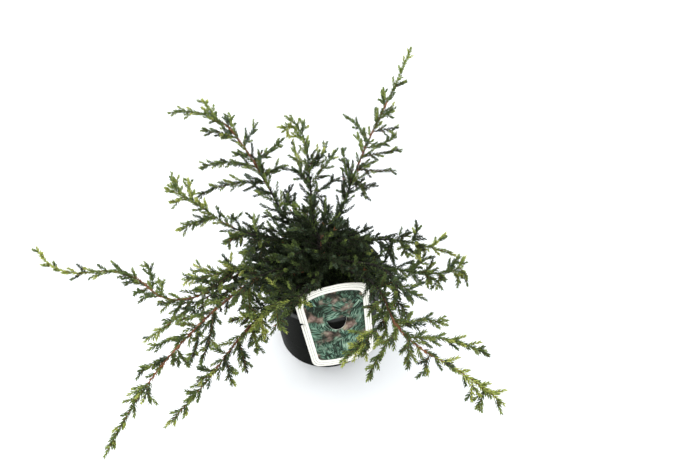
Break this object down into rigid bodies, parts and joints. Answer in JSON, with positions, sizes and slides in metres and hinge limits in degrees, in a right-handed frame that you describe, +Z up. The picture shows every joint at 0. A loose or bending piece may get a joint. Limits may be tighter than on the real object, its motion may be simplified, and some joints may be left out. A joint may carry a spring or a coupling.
{
  "type": "potted conifer",
  "caption": "Young spreading conifer with short prickly needles on long arching shoots, standing in its round nursery pot with a picture card hung over the rim.",
  "frame": {"origin": "middle of the pot's flat underside, on the surface that the pot stands on", "axes": "+Z up the pot, -Y towards the side where the label hangs"},
  "size_m": [0.4444, 0.4097, 0.2633],
  "materials": {
    "plastic": "satin black moulded plastic",
    "compost": "crumbly, dark brown, matt",
    "card": "satin printed plastic card",
    "bark": "thin papery red-brown bark",
    "needles": "waxy green needles"
  },
  "bodies": {
    "root": {"pot": "plastic", "compost": "compost", "label": "card", "trunk": "bark", "bough_back_right": "bark", "bough_back": "bark", "bough_back_left": "bark", "bough_left_upper": "bark", "bough_left_middle": "bark", "bough_far_left": "bark", "bough_left_lower": "bark", "bough_front_left_long": "bark", "bough_front_left": "bark", "bough_front_left_short": "bark", "bough_front_right_long": "bark", "bough_right": "bark", "bough_right_upper": "bark", "bough_right_lower": "bark", "bough_front_right_curl": "bark", "bough_right_back_short": "bark", "foliage_back_right": "needles", "foliage_back": "needles", "foliage_back_left": "needles", "foliage_left_upper": "needles", "foliage_left_middle": "needles", "foliage_far_left": "needles", "foliage_left_lower": "needles", "foliage_front_left_long": "needles", "foliage_front_left": "needles", "foliage_front_left_short": "needles", "foliage_front_right_long": "needles", "foliage_right": "needles", "foliage_right_upper": "needles", "foliage_right_lower": "needles", "foliage_front_right_curl": "needles", "foliage_right_back_short": "needles", "foliage_middle_01": "needles", "foliage_middle_02": "needles", "foliage_middle_03": "needles", "foliage_middle_04": "needles", "foliage_middle_05": "needles", "foliage_middle_06": "needles", "foliage_middle_07": "needles", "foliage_middle_08": "needles", "foliage_middle_09": "needles", "foliage_middle_10": "needles", "foliage_middle_11": "needles", "foliage_middle_12": "needles", "foliage_middle_13": "needles", "foliage_middle_14": "needles", "foliage_middle_15": "needles", "foliage_middle_16": "needles", "foliage_middle_17": "needles", "foliage_middle_18": "needles", "foliage_middle_19": "needles"}
  },
  "joints": []
}
